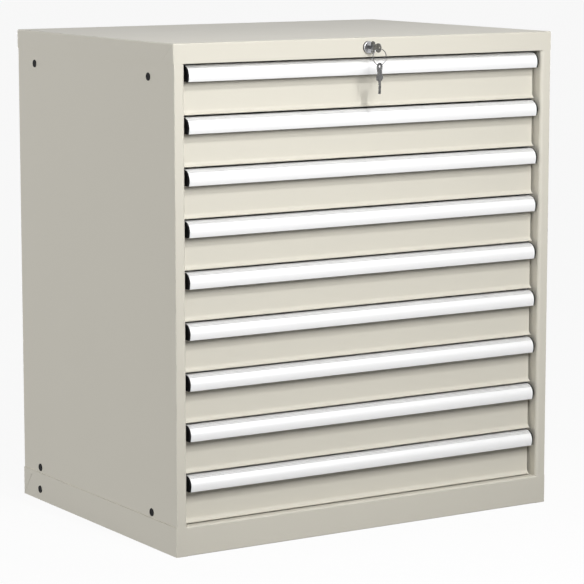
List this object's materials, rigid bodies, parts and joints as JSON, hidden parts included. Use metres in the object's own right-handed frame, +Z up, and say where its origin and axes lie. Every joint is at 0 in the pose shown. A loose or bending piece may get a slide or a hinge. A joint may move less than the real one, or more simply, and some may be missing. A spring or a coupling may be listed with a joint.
{
  "type": "industrial drawer cabinet",
  "caption": "Steel drawer cabinet with full-width grip strips, telescopic drawers and one lock that works them all.",
  "frame": {"origin": "on the floor, at the middle of the whole footprint with the key in its lock", "axes": "+Z up, -Y the way the drawers open, +X to the right seen from the front"},
  "size_m": [0.9054, 0.7122, 1],
  "materials": {
    "case_paint": "satin",
    "cap_paint": "satin",
    "drawer_paint": "satin",
    "grip_aluminium": "satin",
    "black_plastic": "matte",
    "guide_plastic": "matte",
    "zinc_steel": "satin",
    "lock_chrome": "polished",
    "key_nickel": "polished"
  },
  "bodies": {
    "cabinet": {"left_side_panel": "case_paint", "right_side_panel": "case_paint", "back_panel": "case_paint", "top_cover": "cap_paint", "top_front_rail": "case_paint", "plinth_frame": "case_paint", "plinth_rear_cover": "case_paint", "base_panel": "case_paint", "uprights": "zinc_steel", "cabinet_rails_left": "zinc_steel", "cabinet_rails_right": "zinc_steel", "hole_plugs": "black_plastic", "lock_housing": "lock_chrome", "lock_nut": "zinc_steel", "crank_stud": "zinc_steel", "lock_bar_guides": "guide_plastic"},
    "drawer_1": {"drawer_1_body": "drawer_paint", "drawer_1_handle": "grip_aluminium", "drawer_1_end_caps": "black_plastic"},
    "runner_pair_1": {"drawer_1_runners": "zinc_steel"},
    "drawer_2": {"drawer_2_body": "drawer_paint", "drawer_2_handle": "grip_aluminium", "drawer_2_end_caps": "black_plastic"},
    "runner_pair_2": {"drawer_2_runners": "zinc_steel"},
    "drawer_3": {"drawer_3_body": "drawer_paint", "drawer_3_handle": "grip_aluminium", "drawer_3_end_caps": "black_plastic"},
    "runner_pair_3": {"drawer_3_runners": "zinc_steel"},
    "drawer_4": {"drawer_4_body": "drawer_paint", "drawer_4_handle": "grip_aluminium", "drawer_4_end_caps": "black_plastic"},
    "runner_pair_4": {"drawer_4_runners": "zinc_steel"},
    "drawer_5": {"drawer_5_body": "drawer_paint", "drawer_5_handle": "grip_aluminium", "drawer_5_end_caps": "black_plastic"},
    "runner_pair_5": {"drawer_5_runners": "zinc_steel"},
    "drawer_6": {"drawer_6_body": "drawer_paint", "drawer_6_handle": "grip_aluminium", "drawer_6_end_caps": "black_plastic"},
    "runner_pair_6": {"drawer_6_runners": "zinc_steel"},
    "drawer_7": {"drawer_7_body": "drawer_paint", "drawer_7_handle": "grip_aluminium", "drawer_7_end_caps": "black_plastic"},
    "runner_pair_7": {"drawer_7_runners": "zinc_steel"},
    "drawer_8": {"drawer_8_body": "drawer_paint", "drawer_8_handle": "grip_aluminium", "drawer_8_end_caps": "black_plastic"},
    "runner_pair_8": {"drawer_8_runners": "zinc_steel"},
    "drawer_9": {"drawer_9_body": "drawer_paint", "drawer_9_handle": "grip_aluminium", "drawer_9_end_caps": "black_plastic"},
    "runner_pair_9": {"drawer_9_runners": "zinc_steel"},
    "lock_plug": {"lock_plug": "lock_chrome", "lock_cam": "zinc_steel"},
    "key": {"lock_key": "key_nickel"},
    "lock_rod": {"lock_rod": "zinc_steel"},
    "bell_crank": {"bell_crank": "zinc_steel"},
    "lock_bar": {"lock_bar": "zinc_steel"}
  },
  "joints": [
    {"name": "drawer_1_slide", "type": "slide", "parent": "cabinet", "child": "drawer_1", "axis": [0, -1, 0], "range_m": [0, 0.59]},
    {"name": "runner_pair_1_slide", "type": "slide", "parent": "cabinet", "child": "runner_pair_1", "axis": [0, -1, 0], "range_m": [0, 0.295]},
    {"name": "drawer_2_slide", "type": "slide", "parent": "cabinet", "child": "drawer_2", "axis": [0, -1, 0], "range_m": [0, 0.59]},
    {"name": "runner_pair_2_slide", "type": "slide", "parent": "cabinet", "child": "runner_pair_2", "axis": [0, -1, 0], "range_m": [0, 0.295]},
    {"name": "drawer_3_slide", "type": "slide", "parent": "cabinet", "child": "drawer_3", "axis": [0, -1, 0], "range_m": [0, 0.59]},
    {"name": "runner_pair_3_slide", "type": "slide", "parent": "cabinet", "child": "runner_pair_3", "axis": [0, -1, 0], "range_m": [0, 0.295]},
    {"name": "drawer_4_slide", "type": "slide", "parent": "cabinet", "child": "drawer_4", "axis": [0, -1, 0], "range_m": [0, 0.59]},
    {"name": "runner_pair_4_slide", "type": "slide", "parent": "cabinet", "child": "runner_pair_4", "axis": [0, -1, 0], "range_m": [0, 0.295]},
    {"name": "drawer_5_slide", "type": "slide", "parent": "cabinet", "child": "drawer_5", "axis": [0, -1, 0], "range_m": [0, 0.59]},
    {"name": "runner_pair_5_slide", "type": "slide", "parent": "cabinet", "child": "runner_pair_5", "axis": [0, -1, 0], "range_m": [0, 0.295]},
    {"name": "drawer_6_slide", "type": "slide", "parent": "cabinet", "child": "drawer_6", "axis": [0, -1, 0], "range_m": [0, 0.59]},
    {"name": "runner_pair_6_slide", "type": "slide", "parent": "cabinet", "child": "runner_pair_6", "axis": [0, -1, 0], "range_m": [0, 0.295]},
    {"name": "drawer_7_slide", "type": "slide", "parent": "cabinet", "child": "drawer_7", "axis": [0, -1, 0], "range_m": [0, 0.59]},
    {"name": "runner_pair_7_slide", "type": "slide", "parent": "cabinet", "child": "runner_pair_7", "axis": [0, -1, 0], "range_m": [0, 0.295]},
    {"name": "drawer_8_slide", "type": "slide", "parent": "cabinet", "child": "drawer_8", "axis": [0, -1, 0], "range_m": [0, 0.59]},
    {"name": "runner_pair_8_slide", "type": "slide", "parent": "cabinet", "child": "runner_pair_8", "axis": [0, -1, 0], "range_m": [0, 0.295]},
    {"name": "drawer_9_slide", "type": "slide", "parent": "cabinet", "child": "drawer_9", "axis": [0, -1, 0], "range_m": [0, 0.59]},
    {"name": "runner_pair_9_slide", "type": "slide", "parent": "cabinet", "child": "runner_pair_9", "axis": [0, -1, 0], "range_m": [0, 0.295]},
    {"name": "lock_turn", "type": "hinge", "parent": "cabinet", "child": "lock_plug", "pos_m": [-0.0075, -0.3099, 0.9805], "axis": [0, -1, 0], "range_deg": [0, 90]},
    {"name": "key_withdraw", "type": "slide", "parent": "lock_plug", "child": "key", "axis": [0, -1, 0], "range_m": [0, 0.06]},
    {"name": "rod_slide", "type": "slide", "parent": "cabinet", "child": "lock_rod", "axis": [1, 0, 0], "range_m": [0, 0.01273]},
    {"name": "crank_turn", "type": "hinge", "parent": "cabinet", "child": "bell_crank", "pos_m": [0.42566, -0.2769, 0.9853], "axis": [0, -1, 0], "range_deg": [0, 54.08]},
    {"name": "bar_lift", "type": "slide", "parent": "cabinet", "child": "lock_bar", "axis": [0, 0, 1], "range_m": [0, 0.01091]}
  ],
  "couplings": [
    {"joint": "runner_pair_1_slide", "follows": "drawer_1_slide", "ratio": 0.5},
    {"joint": "runner_pair_2_slide", "follows": "drawer_2_slide", "ratio": 0.5},
    {"joint": "runner_pair_3_slide", "follows": "drawer_3_slide", "ratio": 0.5},
    {"joint": "runner_pair_4_slide", "follows": "drawer_4_slide", "ratio": 0.5},
    {"joint": "runner_pair_5_slide", "follows": "drawer_5_slide", "ratio": 0.5},
    {"joint": "runner_pair_6_slide", "follows": "drawer_6_slide", "ratio": 0.5},
    {"joint": "runner_pair_7_slide", "follows": "drawer_7_slide", "ratio": 0.5},
    {"joint": "runner_pair_8_slide", "follows": "drawer_8_slide", "ratio": 0.5},
    {"joint": "runner_pair_9_slide", "follows": "drawer_9_slide", "ratio": 0.5},
    {"joint": "crank_turn", "follows": "bar_lift", "rad_per_m": 86.508},
    {"joint": "rod_slide", "follows": "bar_lift", "ratio": 1.1667},
    {"joint": "lock_turn", "follows": "bar_lift", "rad_per_m": 143.98}
  ]
}
